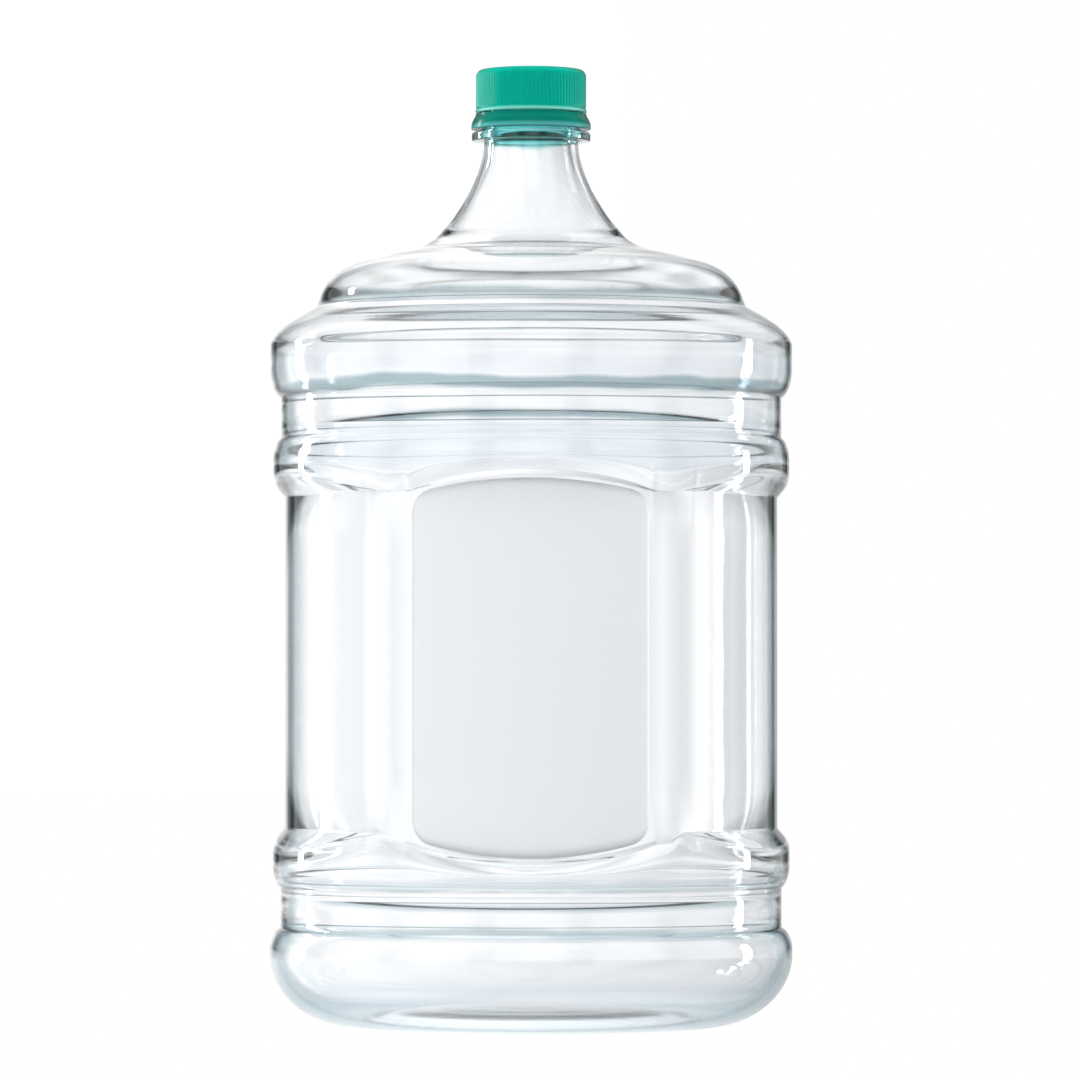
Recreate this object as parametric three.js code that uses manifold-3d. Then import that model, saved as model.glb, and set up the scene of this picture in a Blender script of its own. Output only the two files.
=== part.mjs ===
// Large water jug: a blow-moulded clear bottle of about 20 litres with a green screw cap.
// Millimetres, +Z up, origin on the bottle's axis at the plane it stands on. The label faces -Y.
import * as THREE from 'three';
import { mergeVertices } from 'three/addons/utils/BufferGeometryUtils.js';
import Module from 'manifold-3d';

const degrees = THREE.MathUtils.degToRad;

// Driving dimensions
const height = 495;
const bodyRadius = 135;
const wall = 1.5;
const neckWall = 3.5;
const wallBlend = { from: 405, to: 450 };

const foot = { inner: 80, outer: 90, pushUp: 8 };
const heelHeight = 38;
const ringRadius = 133.6;
const grooveRadius = 129.4;
const pillarRadius = 130.5;

const lowerGroove = { top: 71.9 };
const lowerRing = { middle: 84, flareStart: 90, flareEnd: 113 };
const upperRing = { flareEnd: 262, flareStart: 288, middle: 292 };
const upperGroove = { top: 324.7 };
const shoulder = { bottom: 339, top: 350 };
const dome = { foot: 369.5, height: 26, inner: 82, radius: 110.5 };

// Panels between the two middle rings, by the angle from -Y of their middles and how far they reach
// either way. Each is a shallow arc that meets its ends in a ramp.
const panelArc = 185;
const sidePanel = { bottom: 102.3, top: 273.5, bulge: 0, ramp: 1.14 };
const labelPanel = { bottom: 98, top: 272.8, bulge: 8.5, ramp: 0.35 };
const panels = [
  { middle: degrees(0), reach: degrees(28.5), ...labelPanel },
  { middle: degrees(70), reach: degrees(31.5), ...sidePanel },
  { middle: degrees(-70), reach: degrees(31.5), ...sidePanel },
  { middle: degrees(142.5), reach: degrees(30.5), ...sidePanel },
  { middle: degrees(-142.5), reach: degrees(30.5), ...sidePanel },
];
const panelCorners = [-180, -106.75, -33.5, 33.5, 106.75, 180].map(degrees);
const stepsPerPanel = 10;
const cutDepth = 16;

const neckRadius = 24.4;
const neckBottom = 455.8;
const supportRing = { radius: 30.8, bottom: 457.8, top: 462.2, chamfer: 0.8 };
const threadRoot = 24.9;
const tamperBead = { radius: 26.9, bottom: 468.3, top: 470.8 };
const lip = { top: 491.2, radius: 1.2 };

const thread = { lead: 12, starts: 2, ridge: 1.3, root: 2.4, crest: 1.2, bottom: 475.4, turns: 0.9 };
const runOut = degrees(20);

const cap = { radius: 28.6, bottom: 472.6, plate: 2, inner: 26.7, corner: 3, rim: 28.9, rimTop: 474.2 };
const ribs = { count: 90, depth: 0.5, share: 0.5 };
const capThread = { crest: 25.2, offset: 2, start: degrees(80), turns: 0.75 };
const band = {
  bottom: 463.9, top: 471.8, radius: 31, shoulder: 28.9, inner: 27.3, hook: 25.3, hookTop: 467.6 };
const bridges = { count: 12, width: 1.2, inner: 27.6, outer: 28.6, top: 472.3 };
const liner = { radius: 26.2, thickness: 1.2, gap: 0.3 };
const label = { gap: 0.35, thickness: 0.4, reach: degrees(27), edge: 1.6 };

const bodySegments = 48;
const insideSegments = 40;
const capSegments = 60;

const wasm = await Module();
wasm.setup();

// A closed geometry as a manifold-3d solid.
function solid(geometry) {
  const bare = geometry.clone();
  bare.deleteAttribute('normal');
  bare.deleteAttribute('uv');
  bare.clearGroups();
  const merged = mergeVertices(bare, 1e-4);
  const index = merged.index.array;
  const triangles = [];
  for (let i = 0; i < index.length; i += 3) {
    const [a, b, c] = [index[i], index[i + 1], index[i + 2]];
    if (a !== b && b !== c && c !== a) triangles.push(a, b, c);
  }
  return new wasm.Manifold(new wasm.Mesh({
    numProp: 3,
    vertProperties: merged.attributes.position.array,
    triVerts: new Uint32Array(triangles),
  }));
}

// A manifold-3d solid as a geometry.
function geometryOf(body) {
  const mesh = body.getMesh();
  const geometry = new THREE.BufferGeometry();
  geometry.setAttribute('position', new THREE.BufferAttribute(new Float32Array(mesh.vertProperties), 3));
  geometry.setIndex(new THREE.BufferAttribute(new Uint32Array(mesh.triVerts), 1));
  geometry.computeVertexNormals();
  return geometry;
}

// A mesh of one sub-part in its own material.
function part(name, body, material) {
  const mesh = new THREE.Mesh(geometryOf(body), material);
  mesh.name = name;
  return mesh;
}

// A profile of radius and height turned about Z. The outside of the profile runs upwards.
function lathe(profile, segments) {
  return solid(new THREE.LatheGeometry(profile, segments).rotateX(Math.PI / 2));
}

const at = (r, z) => new THREE.Vector2(r, z);

// The point at an angle from -Y, anticlockwise seen from above.
function around(angle, radius, z) {
  return new THREE.Vector3(radius * Math.sin(angle), -radius * Math.cos(angle), z);
}

// Points of an ellipse about (r, z), from one angle to another in degrees, without the first point.
function ellipse(r, z, radiusR, radiusZ, from, to, steps) {
  return Array.from({ length: steps }, (_, i) => {
    const t = degrees(from + ((to - from) * (i + 1)) / steps);
    return at(r + radiusR * Math.cos(t), z + radiusZ * Math.sin(t));
  });
}

// The outside of the blown body, from the middle of the base up to the neck.
function bodyProfile() {
  const cornerRadius = 8;
  const axis = bodyRadius - cornerRadius;
  const ringCorner = ringRadius - axis;
  // The angles at which the rounded ring edges reach the groove
  const grooveAngle = THREE.MathUtils.radToDeg(Math.acos((grooveRadius - axis) / cornerRadius));
  const ringAngle = THREE.MathUtils.radToDeg(Math.acos((grooveRadius - axis) / ringCorner));
  const neckFlare = new THREE.SplineCurve([at(56, 402.9), at(50.5, 406.6), at(46.2, 411), at(41.4, 416.6),
    at(36.4, 424), at(31.2, 433), at(27.6, 441.5), at(25.3, 449.5), at(neckRadius, neckBottom)]);
  return [
    at(0, foot.pushUp), at(50, foot.pushUp - 3), at(foot.inner, 0), at(foot.outer, 0),
    ...ellipse(foot.outer, heelHeight, bodyRadius - foot.outer, heelHeight, -90, 0, 5),
    ...ellipse(axis, heelHeight + 1.6, cornerRadius, 12.4, 0, grooveAngle, 3),
    at(grooveRadius, lowerGroove.top),
    ...ellipse(axis, lowerRing.middle, ringCorner, 13, -ringAngle, 0, 2),
    at(ringRadius, lowerRing.flareStart), at(132.9, 97), at(131.6, 103.5), at(130.9, 108),
    at(pillarRadius, lowerRing.flareEnd),
    at(pillarRadius, upperRing.flareEnd),
    at(131, 268), at(131.8, 275), at(133, 281.5), at(ringRadius, upperRing.flareStart),
    ...ellipse(axis, upperRing.middle, ringCorner, 13, 0, ringAngle, 3),
    at(grooveRadius, upperGroove.top),
    ...ellipse(axis, shoulder.bottom, cornerRadius, 15, -grooveAngle, 0, 3),
    at(bodyRadius, shoulder.top), at(134.3, 354.8), at(129.8, 360), at(123.1, 365), at(115.5, 369.4),
    ...ellipse(dome.inner, dome.foot, dome.radius - dome.inner, dome.height, 6, 75, 4),
    ...neckFlare.getPoints(8),
  ];
}

// The wall at a height: thin in the blown body and thick in the neck.
function wallAt(z) {
  return THREE.MathUtils.mapLinear(
    THREE.MathUtils.clamp(z, wallBlend.from, wallBlend.to), wallBlend.from, wallBlend.to, wall, neckWall);
}

// A profile moved inwards by the wall, square to itself.
function inset(profile) {
  return profile.map((point, i) => {
    const sides = [[i - 1, i], [i, i + 1]].filter(([a, b]) => profile[a] && profile[b])
      .map(([a, b]) => profile[b].clone().sub(profile[a]).normalize())
      .map((run) => at(-run.y, run.x));
    const mean = sides.reduce((sum, side) => sum.add(side), at(0, 0)).normalize();
    const moved = point.clone().addScaledVector(mean, wallAt(point.y) / mean.dot(sides[0]));
    return point.x === 0 ? at(0, point.y + wall) : moved;
  });
}

// The panel that lies at an angle.
function panelAt(angle) {
  const zone = panelCorners.findIndex((corner, i) => angle <= panelCorners[i + 1] + 1e-9);
  const middle = (panelCorners[zone] + panelCorners[zone + 1]) / 2;
  return panels.find((panel) => Math.abs(panel.middle - middle) < degrees(5));
}

// How far a panel's surface is from the bottle's axis at an angle, with an offset outwards.
function panelRadius(panel, angle, offset) {
  const chord = pillarRadius * Math.sin(panel.reach);
  const centre = pillarRadius * Math.cos(panel.reach) - Math.sqrt(panelArc ** 2 - chord ** 2);
  const turn = angle - panel.middle;
  return centre * Math.cos(turn) + Math.sqrt((panelArc + offset) ** 2 - (centre * Math.sin(turn)) ** 2);
}

// The heights at which a panel ends at an angle. A bulge bows both ends outwards in the middle.
function panelEnds(panel, angle) {
  const across = Math.min(Math.abs(angle - panel.middle) / panel.reach, 1);
  const bow = panel.bulge * (1 - across ** 2);
  return { bottom: panel.bottom - 1.2 * bow, top: panel.top + bow };
}

// The space within the panels, with its surface moved outwards. Above and below them it ramps clear of
// the body.
function withinPanels(offset) {
  const between = (i, j) => THREE.MathUtils.lerp(panelCorners[i], panelCorners[i + 1], j / stepsPerPanel);
  const angles = panelCorners.slice(0, -1).flatMap(
    (_, i) => Array.from({ length: stepsPerPanel }, (_, j) => between(i, j)));
  const rows = [
    (panel, angle) => around(angle, panelRadius(panel, angle, offset + cutDepth),
      panelEnds(panel, angle).bottom - cutDepth * panel.ramp),
    (panel, angle) => around(angle, panelRadius(panel, angle, offset), panelEnds(panel, angle).bottom),
    (panel, angle) => around(angle, panelRadius(panel, angle, offset), panelEnds(panel, angle).top),
    (panel, angle) => around(angle, panelRadius(panel, angle, offset + cutDepth),
      panelEnds(panel, angle).top + cutDepth * panel.ramp),
  ];
  const last = { bottom: -10, top: height + 10 };
  const rings = rows.map((row) => angles.map((angle) => row(panelAt(angle + 1e-6), angle)));
  rings.unshift(rings[0].map((p) => new THREE.Vector3(p.x, p.y, last.bottom)));
  rings.push(rings[4].map((p) => new THREE.Vector3(p.x, p.y, last.top)));
  const count = angles.length;
  const points = [...rings.flat(), new THREE.Vector3(0, 0, last.bottom), new THREE.Vector3(0, 0, last.top)];
  const index = [];
  for (let i = 0; i < count; i += 1) {
    const j = (i + 1) % count;
    for (let k = 0; k + 1 < rings.length; k += 1) {
      const [a, b, c, d] = [k * count + i, k * count + j, (k + 1) * count + j, (k + 1) * count + i];
      index.push(a, b, c, a, c, d);
    }
    index.push(points.length - 2, j, i);
    index.push(points.length - 1, (rings.length - 1) * count + i, (rings.length - 1) * count + j);
  }
  const geometry = new THREE.BufferGeometry().setFromPoints(points);
  geometry.setIndex(index);
  return solid(geometry);
}

// A helical ridge about Z that climbs anticlockwise. Its inner and outer faces each have a radius and a
// width, and it thins towards the tip radius over the run-out at both ends.
function ridge(inner, outer, tip, start, base, turns) {
  const sweep = turns * 2 * Math.PI;
  const geometry = new THREE.BoxGeometry(1, 1, 1, 1, Math.round(turns * 36), 1);
  const position = geometry.attributes.position;
  for (let i = 0; i < position.count; i += 1) {
    const face = position.getX(i) < 0 ? inner : outer;
    const run = (position.getY(i) + 0.5) * sweep;
    const full = Math.min(run / runOut, (sweep - run) / runOut, 1);
    const radius = face.tip ? THREE.MathUtils.lerp(tip, face.radius, 0.15 + 0.85 * full) : face.radius;
    const z = base + (thread.lead * run) / (2 * Math.PI) + position.getZ(i) * face.width;
    const point = around(start + run, radius, z);
    position.setXYZ(i, point.x, point.y, point.z);
  }
  return solid(geometry);
}

// The neck finish above the neck, on the outside, up to the middle of the lip.
function finishProfile() {
  const { radius, bottom, top, chamfer } = supportRing;
  const { radius: bead, bottom: beadBottom, top: beadTop } = tamperBead;
  return [
    at(neckRadius, bottom), at(radius - chamfer, bottom), at(radius, bottom + chamfer),
    at(radius, top - chamfer), at(radius - chamfer, top), at(threadRoot, top),
    at(threadRoot, beadBottom), at(bead, beadBottom), at(bead, beadBottom + 0.9), at(threadRoot, beadTop),
    at(threadRoot, lip.top - lip.radius),
    ...ellipse(threadRoot - lip.radius, lip.top - lip.radius, lip.radius, lip.radius, 0, 90, 2),
    at(0, lip.top),
  ];
}

function makeBottle() {
  const body = bodyProfile();
  const bore = neckRadius - neckWall;
  const outside = lathe([...body, ...finishProfile()], bodySegments).intersect(withinPanels(0));
  const inside = lathe([...inset(body), at(bore, lip.top + 1), at(0, lip.top + 1)], insideSegments)
    .intersect(withinPanels(-wall));
  const threads = Array.from({ length: thread.starts }, (_, i) => ridge(
    { radius: threadRoot - 0.5, width: thread.root },
    { radius: threadRoot + thread.ridge, width: thread.crest, tip: true },
    threadRoot, (i * 2 * Math.PI) / thread.starts, thread.bottom, thread.turns));
  return wasm.Manifold.union([outside.subtract(inside), ...threads]);
}

function makeCapShell() {
  const core = cap.radius - ribs.depth;
  const cornerAt = (radius) => ellipse(
    radius - cap.corner, height - cap.corner, cap.corner, cap.corner, 0, 90, 5);
  const smooth = lathe([at(0, cap.bottom), at(cap.rim, cap.bottom), at(cap.rim, cap.rimTop - 0.4),
    at(core, cap.rimTop), at(core, height - cap.corner), ...cornerAt(core), at(0, height)], capSegments);
  const envelope = lathe([at(0, cap.rimTop - 0.3), at(cap.radius, cap.rimTop - 0.3),
    at(cap.radius, height - cap.corner), ...cornerAt(cap.radius), at(0, height)], capSegments);
  const outline = new THREE.Shape(Array.from({ length: ribs.count * 4 }, (_, i) => {
    const pitch = (2 * Math.PI) / ribs.count;
    const turn = (Math.floor(i / 4) + [0, 0.06, ribs.share - 0.06, ribs.share][i % 4]) * pitch;
    const radius = i % 4 === 1 || i % 4 === 2 ? cap.radius + 1 : core - 0.4;
    return at(radius * Math.cos(turn), radius * Math.sin(turn));
  }));
  const ribTop = height - cap.corner + 2.2;
  const depth = ribTop - cap.rimTop + 1;
  const teeth = solid(new THREE.ExtrudeGeometry(outline, { depth, bevelEnabled: false }))
    .translate([0, 0, cap.rimTop - 1]);
  const hollow = lathe([at(0, cap.bottom - 1), at(cap.inner, cap.bottom - 1),
    at(cap.inner, height - cap.plate), at(0, height - cap.plate)], capSegments);
  const threads = Array.from({ length: thread.starts }, (_, i) => ridge(
    { radius: capThread.crest, width: thread.crest, tip: true },
    { radius: cap.inner + 0.4, width: thread.root },
    cap.inner, (i * 2 * Math.PI) / thread.starts + capThread.start,
    thread.bottom + (thread.lead * capThread.start) / (2 * Math.PI) - capThread.offset,
    capThread.turns));
  const skirt = smooth.add(teeth.intersect(envelope)).subtract(hollow);
  return wasm.Manifold.union([skirt, ...threads]);
}

function makeTamperBand() {
  const { bottom, top, radius, shoulder: upper, inner, hook, hookTop } = band;
  const ring = lathe([
    at(hook + 0.9, bottom), at(radius - 0.4, bottom), at(radius, bottom + 0.5), at(radius, bottom + 1.8),
    at(radius - 0.45, bottom + 3.8), at(radius - 1.25, bottom + 5.6), at(upper, bottom + 7),
    at(upper, top), at(inner, top), at(inner, hookTop + 0.3), at(hook, hookTop), at(hook, bottom + 0.9),
    at(hook + 0.9, bottom)], capSegments);
  const stubs = Array.from({ length: bridges.count }, (_, i) => solid(
    new THREE.BoxGeometry(bridges.width, bridges.outer - bridges.inner, bridges.top - top + 0.4)
      .translate(0, -(bridges.inner + bridges.outer) / 2, (bridges.top + top - 0.4) / 2)
      .rotateZ((i * 2 * Math.PI) / bridges.count)));
  return wasm.Manifold.union([ring, ...stubs]);
}

function makeLiner() {
  const bottom = lip.top + liner.gap;
  return lathe([at(0, bottom), at(liner.radius, bottom), at(liner.radius, bottom + liner.thickness),
    at(0, bottom + liner.thickness)], capSegments);
}

function makeLabel() {
  const [panel] = panels;
  const geometry = new THREE.BoxGeometry(1, 1, 1, 18, 1, 1);
  const position = geometry.attributes.position;
  for (let i = 0; i < position.count; i += 1) {
    const angle = position.getX(i) * 2 * label.reach;
    const offset = label.gap + (position.getY(i) < 0 ? label.thickness : 0);
    const { bottom, top } = panelEnds(panel, angle);
    const z = position.getZ(i) < 0 ? bottom + label.edge : top - label.edge;
    const point = around(angle, panelRadius(panel, angle, offset), z);
    position.setXYZ(i, point.x, point.y, point.z);
  }
  return solid(geometry);
}

const clear = new THREE.MeshStandardMaterial({
  name: 'clear_bottle', color: 0xdbe7ec, roughness: 0.08, transparent: true, opacity: 0.35 });
const green = new THREE.MeshStandardMaterial({ name: 'green_cap', color: 0x00a48c, roughness: 0.4 });
const bandGreen = new THREE.MeshStandardMaterial({ name: 'green_band', color: 0x008f7c, roughness: 0.35 });
const foam = new THREE.MeshStandardMaterial({ name: 'white_liner', color: 0xf1f1ec, roughness: 0.7 });
const film = new THREE.MeshStandardMaterial({ name: 'label_film', color: 0xe5ebee, roughness: 0.5 });

const jug = new THREE.Group();
jug.name = 'water_jug';
jug.add(
  part('bottle', makeBottle(), clear),
  part('cap_shell', makeCapShell(), green),
  part('cap_liner', makeLiner(), foam),
  part('tamper_band', makeTamperBand(), bandGreen),
  part('label', makeLabel(), film),
);

export default jug;
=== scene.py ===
"""A large clear water jug with a green screw cap, on a white studio floor.

Every length in the shape functions is in millimetres, in the frame of the CAD model, and every mesh is
scaled to metres when it is made. Angles round the jug are measured from -Y, anticlockwise from above.
"""
import math

import bpy
import bmesh
import numpy as np
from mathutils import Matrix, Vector


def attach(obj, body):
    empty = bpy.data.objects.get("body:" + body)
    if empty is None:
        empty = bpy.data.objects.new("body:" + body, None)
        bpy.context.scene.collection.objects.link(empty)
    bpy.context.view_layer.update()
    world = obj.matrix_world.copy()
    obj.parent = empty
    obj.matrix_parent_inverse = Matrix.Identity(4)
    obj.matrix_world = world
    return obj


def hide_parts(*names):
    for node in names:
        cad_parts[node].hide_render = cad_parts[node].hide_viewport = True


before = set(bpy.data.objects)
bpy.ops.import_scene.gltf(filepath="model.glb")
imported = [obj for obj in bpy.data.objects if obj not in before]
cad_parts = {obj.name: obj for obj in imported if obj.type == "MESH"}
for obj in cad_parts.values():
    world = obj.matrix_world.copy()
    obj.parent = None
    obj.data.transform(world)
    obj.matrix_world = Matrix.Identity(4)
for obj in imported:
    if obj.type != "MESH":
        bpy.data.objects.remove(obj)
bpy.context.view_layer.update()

MM = 0.001
TAU = 2 * math.pi

# ---------------------------------------------------------------- shape of the blown body

WALL = 1.8
INNER_SOFTNESS = 4.2          # how far the inside surface is averaged along its length
BODY_R, RING_R, GROOVE_R, PILLAR_R = 135.0, 133.6, 129.4, 130.5
RING_LOW, RING_HIGH = 84.0, 292.0       # the middles of the two rings beside the panels
RING_REACH = 13.0             # half the height of a ring
CORNER_R = BODY_R - 8         # where the round edges of the rings start
PANEL_ARC = 185.0             # the radius of a panel's own bow, flatter than the body
PILLAR_STEP = 0.5
PUSH_UP = 8.0
NECK_R, BORE_R = 24.9, 20.9
NECK_START, THREAD_LEAD, THREAD_BOTTOM = 405, 12.0, 475.4
TOP = 495.0

SIDE = dict(bottom=102.3, top=273.5, bulge=0.0, ramp=1.14, lift=0.7)
LABEL = dict(bottom=98.0, top=272.8, bulge=8.5, ramp=0.35, lift=1.3)
PANELS = [
    dict(middle=0.0, reach=28.5, **LABEL),
    dict(middle=70.0, reach=31.5, **SIDE),
    dict(middle=-70.0, reach=31.5, **SIDE),
    dict(middle=142.5, reach=30.5, **SIDE),
    dict(middle=-142.5, reach=30.5, **SIDE),
]
PILLARS = [(33.5, 5.0), (-33.5, 5.0), (106.75, 5.25), (-106.75, 5.25), (180.0, 7.0), (-180.0, 7.0)]


def soft_min(a, b, k):
    h = np.clip(0.5 + 0.5 * (b - a) / k, 0, 1)
    return b * (1 - h) + a * h - k * h * (1 - h)


def smooth_step(t):
    t = np.clip(t, 0, 1)
    return t * t * (3 - 2 * t)


def turn_between(a, b):
    """The signed angle from b to a in degrees, within half a turn."""
    return (a - b + 180) % 360 - 180


def ellipse(cr, cz, rr, rz, start, end, steps):
    """Points of an ellipse in radius and height, without the first one."""
    t = np.radians(np.linspace(start, end, steps + 1)[1:])
    return np.stack([cr + rr * np.cos(t), cz + rz * np.sin(t)], 1)


def line(r0, z0, r1, z1, steps):
    t = np.linspace(0, 1, steps + 1)[1:, None]
    return np.array([[r0, z0]]) * (1 - t) + np.array([[r1, z1]]) * t


def spline(points, steps):
    """A Catmull-Rom curve through the points, without the first one."""
    p = np.array([2 * np.array(points[0]) - points[1], *points, 2 * np.array(points[-1]) - points[-2]], float)
    out = []
    for i in range(1, len(p) - 2):
        for j in range(1, steps + 1):
            t = j / steps
            out.append(0.5 * (2 * p[i] + (p[i + 1] - p[i - 1]) * t
                              + (2 * p[i - 1] - 5 * p[i] + 4 * p[i + 1] - p[i + 2]) * t ** 2
                              + (3 * p[i] - p[i - 1] - 3 * p[i + 1] + p[i + 2]) * t ** 3))
    return np.array(out)


def around_angles(count, edges, sharpness):
    """Angles round the jug in degrees, closer together near the edges of the panels."""
    fine = np.linspace(-180, 180, 7201)
    weight = np.ones_like(fine)
    for edge in edges:
        weight += sharpness * np.exp(-(turn_between(fine, edge) / 1.6) ** 2)
    total = np.concatenate([[0], np.cumsum((weight[1:] + weight[:-1]) / 2)])
    return np.interp(np.arange(count) / count * total[-1], total, fine)


def base_radius(angle, z):
    """The middle of the body with no panels: the two rings, their flares and the pillars between."""
    lower = PILLAR_R + (RING_R - PILLAR_R) * (0.5 + 0.5 * np.cos(np.pi * np.clip((z - 90) / 23, 0, 1)))
    upper = PILLAR_R + (RING_R - PILLAR_R) * (0.5 + 0.5 * np.cos(np.pi * np.clip((288 - z) / 26, 0, 1)))
    radius = np.maximum(lower, upper)
    corner = RING_R - CORNER_R
    for middle, way in ((RING_LOW, -1), (RING_HIGH, 1)):
        out = np.clip((z - middle) * way, 0, RING_REACH) / RING_REACH
        radius = np.where((z - middle) * way > 0, CORNER_R + corner * np.sqrt(1 - out ** 2), radius)
    for middle, reach in PILLARS:
        across = np.clip(np.abs(turn_between(angle, middle)) / reach, 0, 1.3)
        near = smooth_step((1.3 - across) / 0.3)
        arch = 7 * across ** 2
        above = smooth_step((z - (262 + arch)) / 1.3) * smooth_step((288 - z) / 12)
        below = smooth_step((111.5 - arch - z) / 1.3) * smooth_step((z - 90) / 12)
        radius = radius + PILLAR_STEP * near * above
        radius = radius + PILLAR_STEP * near * below
    return radius


def panel_radius(panel, angle, offset):
    chord = PILLAR_R * math.sin(math.radians(panel["reach"]))
    centre = PILLAR_R * math.cos(math.radians(panel["reach"])) - math.sqrt(PANEL_ARC ** 2 - chord ** 2)
    turn = np.radians(turn_between(angle, panel["middle"]))
    return centre * np.cos(turn) + np.sqrt((PANEL_ARC + offset) ** 2 - (centre * np.sin(turn)) ** 2)


def panel_ends(panel, angle, lift=0.0):
    across = np.clip(np.abs(turn_between(angle, panel["middle"])) / panel["reach"], 0, 1)
    bow = panel["bulge"] * (1 - across ** 2)
    return panel["bottom"] - 1.2 * bow - lift, panel["top"] + bow + lift


def body_middle(angles, inner):
    """Radius and height of the middle of the body, with rows that follow the ends of each panel."""
    lift = [p["lift"] if inner else 0.0 for p in PANELS]
    thick = WALL if inner else 0.0
    blend = 4.0 if inner else 1.1
    nearest = np.array([[abs(turn_between(a, p["middle"])) - p["reach"] for p in PANELS] for a in angles])
    share = np.exp(-np.clip(nearest, 0, None) / 1.2)
    share /= share.sum(1, keepdims=True)
    ends = np.array([panel_ends(p, angles, extra) for p, extra in zip(PANELS, lift)])
    bottom = (share * ends[:, 0].T).sum(1)
    top = (share * ends[:, 1].T).sum(1)
    surfaces = np.array([panel_radius(p, angles, 0.0) for p in PANELS])
    flat = surfaces.min(0)
    ramp = (share * np.array([p["ramp"] for p in PANELS])).sum(1)
    climb = np.clip(RING_R - 0.4 - flat, 0.8, None) * ramp
    keys = [np.full_like(angles, RING_LOW - 4), bottom - climb - 1.6, bottom - climb, bottom, bottom + 2.4,
            top - 2.4, top, top + climb, top + climb + 1.6, np.full_like(angles, RING_HIGH)]
    counts = [5, 3, 8, 4, 12, 4, 8, 3, 5] if not inner else [4, 2, 6, 3, 8, 3, 6, 2, 4]
    rows = []
    for low, high, count in zip(keys[:-1], keys[1:], counts):
        for j in range(count):
            rows.append(low + (high - low) * j / count)
    z = np.array([*rows, keys[-1]])
    a = np.broadcast_to(angles, z.shape)
    radius = base_radius(a, z) - thick
    for p, extra in zip(PANELS, lift):
        low, high = panel_ends(p, a, extra)
        out = np.clip(np.maximum(z - high, low - z), 0, None) / p["ramp"]
        off = np.abs(turn_between(a, p["middle"]))
        limit = np.where(off < 60, panel_radius(p, a, 0.0) - thick + out, 400.0)
        radius = soft_min(radius, limit, blend)
    return radius, z


LOWER_ROWS = np.vstack([
    [[6.0, PUSH_UP]], ellipse(0, 0, 80, PUSH_UP, 85, 8, 10), line(80, 0.25, 83, 0, 1), line(83, 0, 90, 0, 2),
    ellipse(90, 38, 45, 38, -90, 0, 22), ellipse(127, 39.6, 8, 12.4, 0, 72.5, 10),
    line(GROOVE_R, 51.5, GROOVE_R, 71.9, 4), ellipse(127, RING_LOW, 6.6, RING_REACH, -68.7, -21, 7)])
UPPER_ROWS = np.vstack([
    ellipse(127, RING_HIGH, 6.6, RING_REACH, 4, 68.7, 9), line(GROOVE_R, 304.1, GROOVE_R, 324.7, 4),
    ellipse(127, 339, 8, 15, -72.5, 0, 12), line(BODY_R, 339, BODY_R, 348, 3),
    spline([(135, 348), (134.6, 353.6), (129.8, 360), (123.1, 365), (115.5, 369.4), (111.6, 371.6)], 4),
    ellipse(82, 369.5, 28.5, 26, 8, 72, 14),
    spline([(90.8, 394.2), (74, 398.6), (60, 401.8), (50.5, 406.6), (46.2, 411), (41.4, 416.6), (36.4, 424),
            (31.2, 433), (27.6, 441.5), (25.3, 449.5), (24.4, 455.8)], 3)])
FINISH_ROWS = np.vstack([
    [[24.4, 457.4], [24.8, 457.8]], line(24.8, 457.8, 30, 457.8, 2),
    ellipse(30, 458.6, 0.8, 0.8, -90, 0, 4), line(30.8, 458.6, 30.8, 461.4, 2),
    ellipse(30, 461.4, 0.8, 0.8, 0, 90, 4), line(30, 462.2, 25.3, 462.2, 2),
    [[NECK_R, 462.6], [NECK_R, 468]], line(NECK_R, 468.3, 26.6, 468.3, 1),
    ellipse(26.5, 468.8, 0.4, 0.4, -70, 40, 3), [[24.95, 470.7], [NECK_R, 473.6]],
    line(NECK_R, 473.8, NECK_R, 489, 30), [[NECK_R, 490]], ellipse(23.7, 490, 1.2, 1.2, 0, 90, 5)])
BORE_ROWS = np.array([
    [21.6, 491.2], [21.1, 491.0], [BORE_R, 490.4], [BORE_R, 478], [BORE_R, 464], [BORE_R, 457]])


def soften(radius, z):
    """The inside of a blown wall is rounder than the outside: average it along its length, below the neck."""
    run = np.concatenate([[0], np.cumsum(np.hypot(np.diff(radius[:, 0]), np.diff(z[:, 0])))])
    length = np.gradient(run)
    share = np.exp(-((run[:, None] - run) / INNER_SOFTNESS) ** 2 / 2) * length
    share /= share.sum(1, keepdims=True)
    blend = np.clip((430 - z) / 60, 0, 1) * np.clip((radius - 6) / 20, 0, 1)
    return radius + blend * (share @ radius - radius), z + blend * (share @ z - z)


def inset_rows(rows):
    """Rows moved inwards by the wall, which thickens up the neck."""
    step = np.gradient(rows, axis=0)
    normal = np.stack([-step[:, 1], step[:, 0]], 1)
    normal /= np.linalg.norm(normal, axis=1, keepdims=True)
    for _ in range(3):
        normal[1:-1] = (normal[:-2] + 2 * normal[1:-1] + normal[2:]) / 4
        normal /= np.linalg.norm(normal, axis=1, keepdims=True)
    thick = np.interp(rows[:, 1], [NECK_START, 450], [WALL, 3.5])
    moved = rows + normal * thick[:, None]
    moved[:, 0] = np.maximum(moved[:, 0], np.where(rows[:, 1] > 300, BORE_R, 3.0))
    return moved


def thread_height(angles, z, first, bottom, turns, depth):
    """How far a two-start thread stands out at each point. It starts at the angle first."""
    raised = np.zeros_like(z)
    for start in (first, first + 180.0):
        run = (angles - start) % 360 / 360
        middle = bottom + THREAD_LEAD * run
        height = np.clip((1.2 - np.abs(z - middle)) / 0.6, 0, 1)
        taper = np.clip(np.minimum(run, turns - run) * 18, 0, 1)
        raised = np.maximum(raised, depth * height * taper)
    return raised


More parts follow.
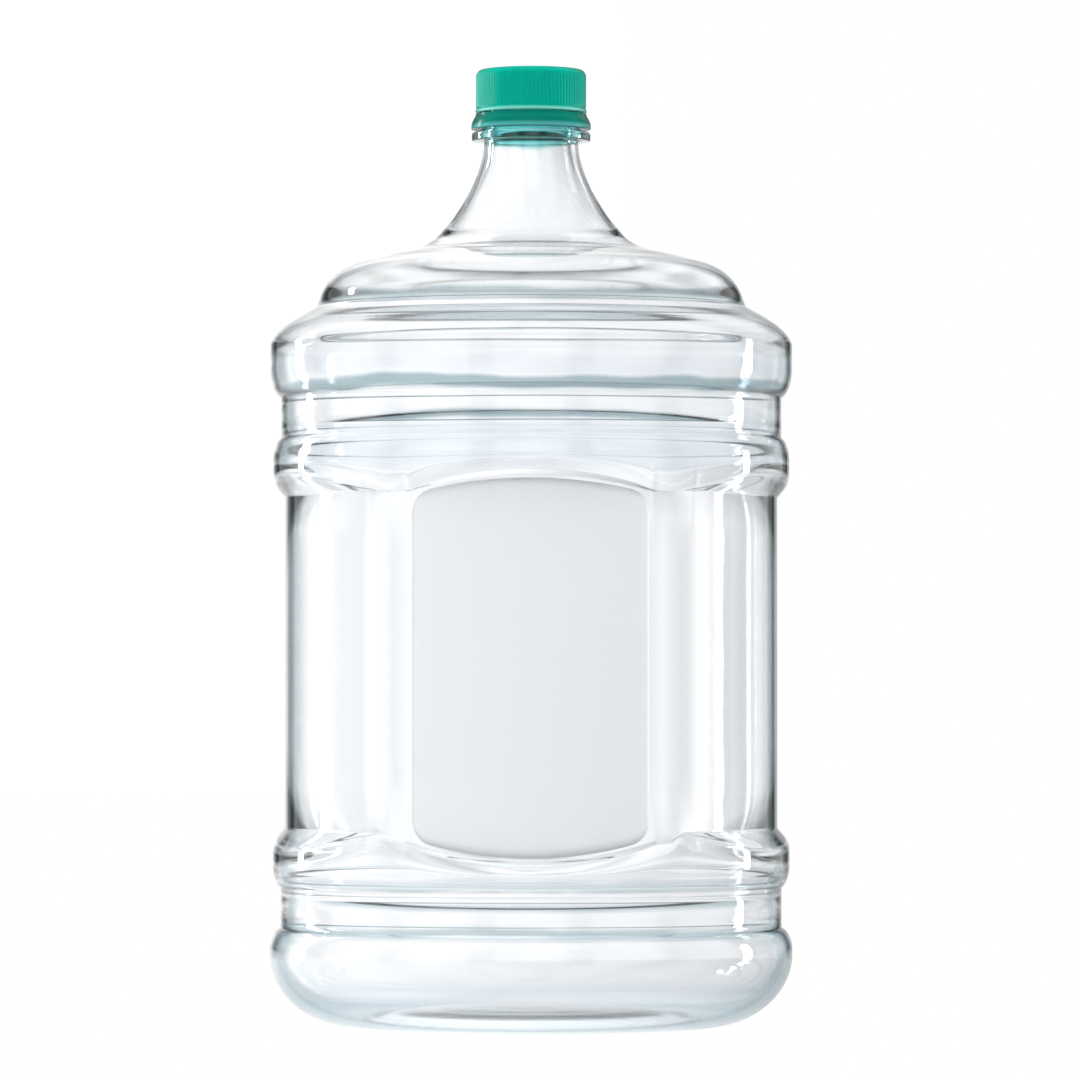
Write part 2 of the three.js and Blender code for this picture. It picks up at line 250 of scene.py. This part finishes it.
def mesh_object(name, vertices, faces, material):
    mesh = bpy.data.meshes.new(name)
    mesh.from_pydata((vertices * MM).tolist(), [], faces)
    mesh.materials.append(material)
    mesh.polygons.foreach_set("use_smooth", [True] * len(mesh.polygons))
    made = bpy.data.objects.new(name, mesh)
    bpy.context.scene.collection.objects.link(made)
    b = bmesh.new()
    b.from_mesh(mesh)
    bmesh.ops.recalc_face_normals(b, faces=b.faces)
    b.to_mesh(mesh)
    b.free()
    mesh.update()
    return made


def turned(name, angles, radius, z, material, poles):
    """A closed surface from rings of points. poles are the heights of the first and last points on the
    axis, or None where the last ring joins the first."""
    rows, count = radius.shape
    a = np.radians(angles)
    points = np.stack([radius * np.sin(a), -radius * np.cos(a), z], 2).reshape(-1, 3)
    faces = []
    pairs = [(i, i + 1) for i in range(rows - 1)] + ([] if poles else [(rows - 1, 0)])
    for low, high in pairs:
        for i in range(count):
            j = (i + 1) % count
            faces.append((low * count + i, low * count + j, high * count + j, high * count + i))
    if poles:
        points = np.vstack([points, [[0, 0, poles[0]], [0, 0, poles[1]]]])
        last = (rows - 1) * count
        for i in range(count):
            j = (i + 1) % count
            faces.append((len(points) - 2, j, i))
            faces.append((len(points) - 1, last + i, last + j))
    return mesh_object(name, points, faces, material)


def make_bottle(material):
    edges = [p["middle"] + s * p["reach"] for p in PANELS for s in (-1, 1)]
    angles = around_angles(252, edges, 3.0)
    full = np.ones_like(angles)

    def rings(rows):
        return rows[:, :1] * full, rows[:, 1:] * full

    finish_r, finish_z = rings(FINISH_ROWS)
    threaded = finish_r + thread_height(angles, finish_z, 0.0, THREAD_BOTTOM, 0.9, 1.3)
    finish_r = np.where((finish_z > 473.7) & (finish_z < 489.5) & (finish_r > 24.8), threaded, finish_r)
    outside = [rings(LOWER_ROWS), body_middle(angles, False), rings(UPPER_ROWS), (finish_r, finish_z)]
    upper_in, lower_in = inset_rows(UPPER_ROWS)[::-1], inset_rows(LOWER_ROWS)[::-1]
    middle_r, middle_z = body_middle(angles, True)
    inside = [rings(BORE_ROWS), rings(upper_in[2::2]), (middle_r[::-1], middle_z[::-1]),
              rings(lower_in[1::2])]
    inside = soften(np.vstack([p[0] for p in inside]), np.vstack([p[1] for p in inside]))
    radius = np.vstack([*(p[0] for p in outside), inside[0]])
    z = np.vstack([*(p[1] for p in outside), inside[1]])
    return turned("jug_bottle", angles, radius, z, material, (PUSH_UP, PUSH_UP + WALL))


# ---------------------------------------------------------------- cap, band, liner and label

def make_cap(material):
    ribs, per_rib = 90, 6
    angles = np.arange(ribs * per_rib) / (ribs * per_rib) * 360
    full = np.ones_like(angles)
    phase = np.arange(ribs * per_rib) % per_rib
    tooth = np.array([0.0, 0.75, 1.0, 1.0, 0.75, 0.0])[phase]
    core, corner, rib = 28.3, 3.0, 0.26
    outside = np.vstack([
        [[3.0, TOP - 0.25], [3.4, TOP - 0.05], [4.2, TOP], [20.6, TOP], [21.2, TOP - 0.12],
         [21.8, TOP - 0.12], [22.3, TOP - 0.1]],
        ellipse(core - corner, TOP - corner - 0.1, corner, corner, 90, 0, 10),
        line(core, TOP - corner - 0.1, core, 475.2, 16),
        [[core, 474.6], [core + 0.25, 474.25], [28.8, 474.0], [28.9, 473.6], [28.9, 473.0], [28.6, 472.65],
         [28.2, 472.6]]])
    inside = np.vstack([
        [[27.2, 472.6], [26.75, 472.9]], line(26.7, 473.1, 26.7, 488.2, 38),
        [[26.7, 492.4], [26.1, 493.0], [10.0, 493.0], [2.0, 493.0]]])
    radius, z = outside[:, :1] * full, outside[:, 1:] * full
    grip = smooth_step((z - 474.6) / 0.9) * smooth_step((TOP - 1.3 - z) / 2.0)
    radius = radius + rib * tooth * grip
    in_r, in_z = inside[:, :1] * full, inside[:, 1:] * full
    first = 80.0
    thread = thread_height(angles, in_z, first, THREAD_BOTTOM + THREAD_LEAD * first / 360 - 2, 0.75, 1.5)
    in_r = np.where((in_z > 473.0) & (in_z < 488.5), in_r - thread, in_r)
    return turned("jug_cap", angles, np.vstack([radius, in_r]), np.vstack([z, in_z]), material,
                  (TOP - 0.25, 493.0))


def make_band(material):
    count = 480
    angles = np.arange(count) / count * 360
    full = np.ones_like(angles)
    loop = np.vstack([
        [[26.2, 463.9], [28.0, 463.9], [30.3, 463.9]], ellipse(30.5, 464.4, 0.5, 0.5, -90, 0, 3),
        spline([(31.0, 464.4), (31.0, 465.6), (30.6, 467.6), (29.8, 469.4), (28.95, 470.7)], 4),
        [[28.9, 471.1], [28.9, 471.5], [28.7, 471.8], [28.6, 471.8], [27.6, 471.8], [27.4, 471.8],
         [27.3, 471.6], [27.3, 468.2], [27.2, 467.9], [25.5, 467.65], [25.3, 467.4], [25.3, 465.0],
         [25.6, 464.4]]])
    radius, z = loop[:, :1] * full, loop[:, 1:] * full
    stub = np.abs((angles + 15) % 30 - 15) * math.pi / 180 * 28.1 < 0.75
    lifted = (loop[:, 1] > 471.75) & (loop[:, 0] > 27.5) & (loop[:, 0] < 28.65)
    z = z + np.outer(lifted, stub * 0.5)
    return turned("jug_tamper_band", angles, radius, z, material, None)


def make_liner(material):
    angles = np.arange(120) / 120 * 360
    rows = np.vstack([[[4.0, 491.5], [18.0, 491.5], [25.9, 491.5]], ellipse(25.9, 491.8, 0.3, 0.3, -90, 0, 3),
                      line(26.2, 491.8, 26.2, 492.4, 1), ellipse(25.9, 492.4, 0.3, 0.3, 0, 90, 3),
                      [[18.0, 492.7], [4.0, 492.7]]])
    full = np.ones_like(angles)
    return turned("jug_cap_liner", angles, rows[:, :1] * full, rows[:, 1:] * full, material, (491.5, 492.7))


def make_label(material):
    panel, reach, corner = PANELS[0], 27.0, 9.0
    columns, rows = 72, 40
    angles = np.linspace(-reach, reach, columns)
    side = (reach - np.abs(angles)) * math.pi / 180 * 125
    shrink = corner - np.sqrt(np.clip(corner ** 2 - (corner - np.clip(side, 0, corner)) ** 2, 0, None))
    low, high = panel_ends(panel, angles)
    low, high = low + 1.6 + shrink, high - 1.6 - shrink
    z = low + (high - low) * np.linspace(0, 1, rows)[:, None]
    a = np.broadcast_to(angles, z.shape)
    points = []
    for offset in (0.75, 0.35):
        radius = panel_radius(panel, a, offset)
        points.append(np.stack([radius * np.sin(np.radians(a)), -radius * np.cos(np.radians(a)), z], 2))
    vertices = np.array(points).reshape(-1, 3)
    half = rows * columns
    faces = []
    for i in range(rows - 1):
        for j in range(columns - 1):
            k = i * columns + j
            faces.append((k, k + 1, k + columns + 1, k + columns))
            faces.append((half + k, half + k + columns, half + k + columns + 1, half + k + 1))
    rim = ([j for j in range(columns)] + [i * columns + columns - 1 for i in range(1, rows)]
           + [(rows - 1) * columns + j for j in range(columns - 2, -1, -1)]
           + [i * columns for i in range(rows - 2, 0, -1)])
    for i, k in enumerate(rim):
        n = rim[(i + 1) % len(rim)]
        faces.append((k, half + k, half + n, n))
    return mesh_object("jug_label", vertices, faces, material)


# ---------------------------------------------------------------- materials

class Nodes:
    """A material's node tree, with short calls to add and join nodes."""

    def __init__(self, name):
        self.material = bpy.data.materials.new(name)
        self.material.use_nodes = True
        self.tree = self.material.node_tree
        self.shader = self.tree.nodes["Principled BSDF"]

    def add(self, kind, inputs=None, **settings):
        node = self.tree.nodes.new(kind)
        for key, value in settings.items():
            setattr(node, key, value)
        for key, value in (inputs or {}).items():
            self.put(node.inputs[key], value)
        return node

    def put(self, socket, value):
        if isinstance(value, bpy.types.NodeSocket):
            self.tree.links.new(value, socket)
        else:
            socket.default_value = value

    def set(self, **inputs):
        for key, value in inputs.items():
            self.put(self.shader.inputs[key.replace("_", " ")], value)

    def noise(self, scale, detail=3.0, roughness=0.5, stretch=(1, 1, 1)):
        place = self.add("ShaderNodeTexCoord")
        mapping = self.add("ShaderNodeMapping", {"Vector": place.outputs["Object"], "Scale": stretch})
        return self.add("ShaderNodeTexNoise", {"Vector": mapping.outputs["Vector"], "Scale": scale,
                                               "Detail": detail, "Roughness": roughness}).outputs["Fac"]

    def remap(self, value, low, high, out_low, out_high):
        return self.add("ShaderNodeMapRange", {"Value": value, "From Min": low, "From Max": high,
                                               "To Min": out_low, "To Max": out_high}).outputs["Result"]

    def ramp(self, value, stops):
        node = self.add("ShaderNodeValToRGB", {"Fac": value})
        elements = node.color_ramp.elements
        while len(elements) < len(stops):
            elements.new(0.5)
        for element, (place, colour) in zip(elements, stops):
            element.position = place
            element.color = (*colour, 1)
        return node.outputs["Color"]

    def bands(self, rest, bands, wander=0.0):
        """A colour that depends on height only: rest, and in each band (bottom, top, softness, colour) its
        own. The edges wander up and down by a few millimetres round the jug."""
        place = self.add("ShaderNodeTexCoord").outputs["Object"]
        height = self.add("ShaderNodeSeparateXYZ", {0: place}).outputs["Z"]
        shift = self.remap(self.noise(13.0, 2.0), 0.25, 0.75, -wander * MM, wander * MM)
        height = self.maths("ADD", height, shift)
        stops = []
        for bottom, top, soft, colour in bands:
            stops += [(bottom - soft, rest), (bottom, colour), (top, colour), (top + soft, rest)]
        return self.ramp(self.remap(height, 0.0, 500 * MM, 0.0, 1.0),
                         [(z / 500, colour) for z, colour in stops])

    def mix(self, share, a, b, kind="MIX"):
        """Colour a, or b where share is 1."""
        return self.add("ShaderNodeMix", {0: share, 6: a, 7: b}, data_type="RGBA", blend_type=kind).outputs[2]

    def multiply(self, a, b):
        return self.mix(1.0, a, b, "MULTIPLY")

    def maths(self, kind, a, b=0.0, clamp=False):
        return self.add("ShaderNodeMath", {0: a, 1: b}, operation=kind, use_clamp=clamp).outputs[0]

    def bump(self, height, strength, distance):
        return self.add("ShaderNodeBump", {"Height": height, "Strength": strength,
                                           "Distance": distance}).outputs["Normal"]


# Heights of painted shade on the clear plastic and of a painted green tint at the neck, as (bottom, top,
# softness, colour).
PAINTED_SHADING_BANDS = [
    (2, 12, 6, (0.94, 0.96, 0.97)),              # foot
    (50, 53.5, 1.5, (0.66, 0.75, 0.77)),         # edges of the lower groove
    (74.5, 77.5, 1.5, (0.74, 0.81, 0.83)),
    (286, 311, 3, (0.925, 0.95, 0.965)),         # upper ring
    (325.2, 330, 1.2, (0.42, 0.53, 0.56)),       # underside of the shoulder ring
    (334, 347, 2, (0.95, 0.965, 0.975)),         # shoulder ring
    (371.5, 376, 1.2, (0.54, 0.62, 0.65)),       # root of the dome
    # painted green tint: the cap seen through the neck, not a colour of the plastic
    (456.5, 476, 1, (0.34, 0.77, 0.76)),         # the green cap showing through the neck
]


def clear_plastic():
    """Clear plastic with painted shade where the wall is seen at a slant. Steep faces have a painted dark
    notch near their outline, level ones such as the dome don't, and the heel has a wide painted dark rim."""
    n = Nodes("clear_blown_plastic")
    facing = n.add("ShaderNodeLayerWeight", {"Blend": 0.5}).outputs["Facing"]
    # painted shade: darker where the wall is seen at a slant, with a dark notch near the outline
    steep = n.ramp(facing, [
        (0.0, (0.972, 0.983, 0.997)), (0.50, (0.960, 0.973, 0.987)), (0.66, (0.90, 0.93, 0.945)),
        (0.735, (0.44, 0.55, 0.59)), (0.775, (0.72, 0.79, 0.81)), (0.88, (0.92, 0.94, 0.95)),
        (1.0, (0.84, 0.885, 0.91))])
    level = n.ramp(facing, [
        (0.0, (0.98, 0.988, 1.0)), (0.7, (0.97, 0.98, 0.99)), (1.0, (0.95, 0.965, 0.975))])
    # painted shade: the wide dark rim at the heel
    rim = n.ramp(facing, [
        (0.56, (1, 1, 1)), (0.72, (0.78, 0.845, 0.865)), (0.86, (0.52, 0.63, 0.66)),
        (1.0, (0.44, 0.55, 0.59))])

    place = n.add("ShaderNodeTexCoord")
    normal = n.add("ShaderNodeSeparateXYZ", {0: place.outputs["Normal"]}).outputs["Z"]
    height = n.add("ShaderNodeSeparateXYZ", {0: place.outputs["Object"]}).outputs["Z"]
    across = n.add("ShaderNodeVectorMath", {0: place.outputs["Object"], 1: (1, 1, 0)}, operation="MULTIPLY")
    radius = n.add("ShaderNodeVectorMath", {0: across.outputs[0]}, operation="LENGTH").outputs["Value"]
    slope = n.remap(n.maths("ABSOLUTE", normal), 0.25, 0.65, 0.0, 1.0)
    heel = n.maths("MULTIPLY", n.remap(radius, 96 * MM, 106 * MM, 0.0, 1.0),
                   n.remap(height, 60 * MM, 50 * MM, 0.0, 1.0))

    edge = n.mix(n.maths("SUBTRACT", slope, heel, clamp=True), steep, level)
    edge = n.multiply(edge, n.mix(heel, (1, 1, 1, 1), rim))
    haze = n.remap(n.noise(38.0, 5.0, 0.65), 0.45, 0.85, 0.03, 0.07)
    # the height bands add painted shade on and beside the rings and a painted green tint at the neck
    n.set(Base_Color=n.multiply(edge, n.bands((1, 1, 1), PAINTED_SHADING_BANDS, 2.5)),
          Roughness=haze, IOR=1.5, Transmission_Weight=1.0,
          Normal=n.bump(n.noise(8.0, 1.0, 0.4, (1, 1, 0.35)), 0.10, 0.001))
    return n.material


def moulded_green(name, colour, painted_highlight_bands):
    """Green moulded plastic, with painted highlights in the given bands of height and painted shade where it
    is seen at a slant.
    """
    n = Nodes(name)
    mottle = n.ramp(n.noise(30.0, 2.0), [(0.3, (0.93, 0.93, 0.93)), (0.7, (1, 1, 1))])
    facing = n.add("ShaderNodeLayerWeight", {"Blend": 0.5}).outputs["Facing"]
    # painted shade: darker towards the outline, where the surface is seen at a slant
    edge = n.ramp(facing, [(0.0, (1, 1, 1)), (0.40, (1, 1, 1)), (0.80, (0.30, 0.40, 0.40))])
    n.set(Base_Color=n.multiply(n.multiply(n.bands(colour, painted_highlight_bands), mottle), edge), Specular_IOR_Level=0.06,
          Roughness=n.remap(n.noise(260.0, 3.0), 0.3, 0.7, 0.17, 0.24), IOR=1.45,
          Subsurface_Weight=0.6, Subsurface_Radius=(0.3, 1.0, 0.9), Subsurface_Scale=0.006,
          Normal=n.bump(n.noise(700.0, 3.0), 0.06, 0.0002))
    return n.material


def foam():
    n = Nodes("white_foam_liner")
    n.set(Base_Color=n.ramp(n.noise(260.0, 4.0), [(0.3, (0.80, 0.80, 0.76)), (0.7, (0.90, 0.90, 0.87))]),
          Roughness=0.75, Normal=n.bump(n.noise(1400.0, 3.0), 0.4, 0.0003),
          Subsurface_Weight=0.6, Subsurface_Radius=(1.0, 1.0, 1.0), Subsurface_Scale=0.004)
    return n.material


def label_film():
    n = Nodes("pale_label_film")
    cloud = n.noise(7.0, 3.0, 0.45, (1, 1, 0.5))
    n.set(Base_Color=n.ramp(cloud, [(0.3, (0.945, 0.980, 0.995)), (0.7, (0.957, 0.988, 1.0))]),
          Roughness=n.remap(n.noise(300.0, 3.0), 0.3, 0.7, 0.42, 0.55), IOR=1.46,
          Subsurface_Weight=0.6, Subsurface_Radius=(1.0, 1.0, 1.0), Subsurface_Scale=0.003,
          Normal=n.bump(n.noise(1200.0, 3.0), 0.08, 0.0001))
    return n.material


# ---------------------------------------------------------------- the jug

CLEAR = clear_plastic()
# painted highlight: a paler line on the bottom rim of the cap
CAP_GREEN = moulded_green("green_cap_plastic", (0.0, 0.380, 0.280), [(472.4, 473.9, 0.3, (0.30, 0.84, 0.70))])
# painted highlights: a pale stripe on the lower flare of the band and a paler line along its top
BAND_GREEN = moulded_green("green_band_plastic", (0.0, 0.190, 0.138), [
    (463.5, 465.6, 0.6, (0.10, 0.42, 0.42)), (471.1, 472.2, 0.3, (0.20, 0.66, 0.54))])
FOAM = foam()
FILM = label_film()

for make, material, node, body, slot in (
        (make_bottle, CLEAR, "bottle", "jug", "clear_bottle"),
        (make_cap, CAP_GREEN, "cap_shell", "cap", "green_cap"),
        (make_band, BAND_GREEN, "tamper_band", "band", "green_band"),
        (make_liner, FOAM, "cap_liner", "cap", "white_liner"),
        (make_label, FILM, "label", "jug", "label_film")):
    piece = make(material)
    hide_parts(node)
    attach(piece, body)
    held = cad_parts[node].data.materials
    held.clear()
    held.append(material)

# ---------------------------------------------------------------- floor, light and camera


def make_floor():
    """White to the camera. To the jug it glows with painted shade where the jug stands and painted light that
    is brighter on the left than on the right, and it fades out far away, so that no edge of it shows through
    the plastic."""
    n = Nodes("white_floor")
    place = n.add("ShaderNodeTexCoord").outputs["Object"]
    away = n.add("ShaderNodeVectorMath", {0: place}, operation="LENGTH").outputs["Value"]
    across = n.add("ShaderNodeSeparateXYZ", {0: place}).outputs["X"]
    shade = n.ramp(n.remap(away, 0.0, 3.0, 0.0, 1.0), [
        (0.025, (0.96, 0.99, 1.0)), (0.045, (0.67, 0.70, 0.72)), (0.09, (0.72, 0.735, 0.745)),
        (0.25, (0.74, 0.745, 0.75))])
    seen = n.add("ShaderNodeEmission", {"Color": (1, 1, 1, 1), "Strength": 1.0})
    bounced = n.add("ShaderNodeEmission", {
        "Color": shade, "Strength": n.remap(across, -0.2, 0.2, 1.54, 0.94)})
    far = n.add("ShaderNodeMixShader", {0: n.remap(away, 0.8, 3.5, 0.0, 1.0), 1: bounced.outputs[0],
                                        2: n.add("ShaderNodeBsdfTransparent").outputs[0]})
    mix = n.add("ShaderNodeMixShader", {0: n.add("ShaderNodeLightPath").outputs["Is Camera Ray"],
                                        1: far.outputs[0], 2: seen.outputs[0]})
    n.put(n.tree.nodes["Material Output"].inputs["Surface"], mix.outputs[0])
    n.tree.nodes.remove(n.shader)
    b = bmesh.new()
    bmesh.ops.create_circle(b, cap_ends=True, segments=96, radius=9.0)
    mesh = bpy.data.meshes.new("floor")
    b.to_mesh(mesh)
    b.free()
    mesh.materials.append(n.material)
    made = bpy.data.objects.new("floor", mesh)
    made.location = (0, 0, -0.0004)
    bpy.context.scene.collection.objects.link(made)


def softbox(name, azimuth, distance, height, width, tall, power, seen=True):
    """An area light that faces the jug. It shows as a highlight in the jug if it is seen."""
    lamp = bpy.data.lights.new(name, "AREA")
    lamp.shape, lamp.size, lamp.size_y = "RECTANGLE", width, tall
    lamp.energy = power
    made = bpy.data.objects.new(name, lamp)
    a = math.radians(azimuth)
    made.location = (distance * math.sin(a), -distance * math.cos(a), height)
    made.rotation_mode = "QUATERNION"
    made.rotation_quaternion = (Vector((0, 0, 0.27)) - made.location).to_track_quat("-Z", "Y")
    made.visible_camera = False
    made.visible_glossy = made.visible_transmission = seen
    bpy.context.scene.collection.objects.link(made)


def make_world():
    """White behind the jug from the usual views, with eight soft dark strips between them, greyer to the
    right of each view, and a darker ceiling, so that the clear plastic has something to show."""
    world = bpy.data.worlds.new("studio")
    bpy.context.scene.world = world
    world.use_nodes = True
    tree = world.node_tree
    add, join = tree.nodes.new, tree.links.new

    def maths(kind, a, b=0.0, c=0.0):
        node = add("ShaderNodeMath")
        node.operation = kind
        for socket, value in zip(node.inputs, (a, b, c)):
            if isinstance(value, bpy.types.NodeSocket):
                join(value, socket)
            else:
                socket.default_value = value
        return node.outputs[0]

    def remap(value, low, high, out_low, out_high):
        node = add("ShaderNodeMapRange")
        node.interpolation_type = "SMOOTHSTEP"
        join(value, node.inputs["Value"])
        for key, number in (("From Min", low), ("From Max", high), ("To Min", out_low), ("To Max", out_high)):
            node.inputs[key].default_value = number
        return node.outputs["Result"]

    split = add("ShaderNodeSeparateXYZ")
    join(add("ShaderNodeTexCoord").outputs["Generated"], split.inputs[0])
    azimuth = maths("ARCTAN2", split.outputs["X"], split.outputs["Y"])
    strip = remap(maths("COSINE", maths("MULTIPLY", azimuth, 8.0)), -1.0, -0.35, 0.14, 1.0)
    reach = remap(maths("ABSOLUTE", split.outputs["Z"]), 0.35, 0.75, 0.0, 1.0)
    shade = maths("MAXIMUM", maths("SUBTRACT", maths("SINE", maths("MULTIPLY", azimuth, 8.0)), 0.10), -0.30)
    strip = maths("SUBTRACT", maths("MAXIMUM", strip, reach), maths("MULTIPLY", shade, 0.45))
    low_dark = remap(split.outputs["Z"], 0.14, 0.26, 1.0, 0.75)
    low_end = remap(split.outputs["Z"], 0.26, 0.42, 0.0, 0.38)
    ceiling = remap(split.outputs["Z"], 0.75, 0.95, 0.0, 0.45)
    level = maths("MULTIPLY", strip, maths("SUBTRACT", maths("ADD", low_dark, low_end), ceiling))
    camera = add("ShaderNodeLightPath").outputs["Is Camera Ray"]
    level = maths("MAXIMUM", level, camera)
    mix = add("ShaderNodeMix")
    mix.data_type, mix.clamp_factor = "RGBA", False
    join(level, mix.inputs["Factor"])
    mix.inputs[6].default_value = (0.05, 0.085, 0.10, 1)
    mix.inputs[7].default_value = (1.0, 1.0, 1.0, 1)
    join(mix.outputs[2], tree.nodes["Background"].inputs["Color"])
    tree.nodes["Background"].inputs["Strength"].default_value = 1.0


make_floor()
make_world()
softbox("right_strip", 108, 1.7, 0.24, 0.13, 0.66, 13)
softbox("left_strip", -120, 1.7, 0.45, 0.14, 1.3, 24)
softbox("front_fill", -28, 2.6, 1.7, 1.6, 1.2, 20, False)
softbox("overhead", 10, 0.25, 2.2, 1.5, 1.5, 20, False)

camera = bpy.data.cameras.new("camera")
camera.lens, camera.sensor_width, camera.sensor_fit = 232.0, 36.0, "HORIZONTAL"
camera.clip_start, camera.clip_end = 0.05, 60
eye = bpy.data.objects.new("camera", camera)
eye.location = (0.00466, -3.6, 0.1686)
eye.rotation_euler = (math.radians(90 + 1.317), 0, 0)
bpy.context.scene.collection.objects.link(eye)
bpy.context.scene.camera = eye
bpy.context.scene.view_settings.view_transform = "Standard"
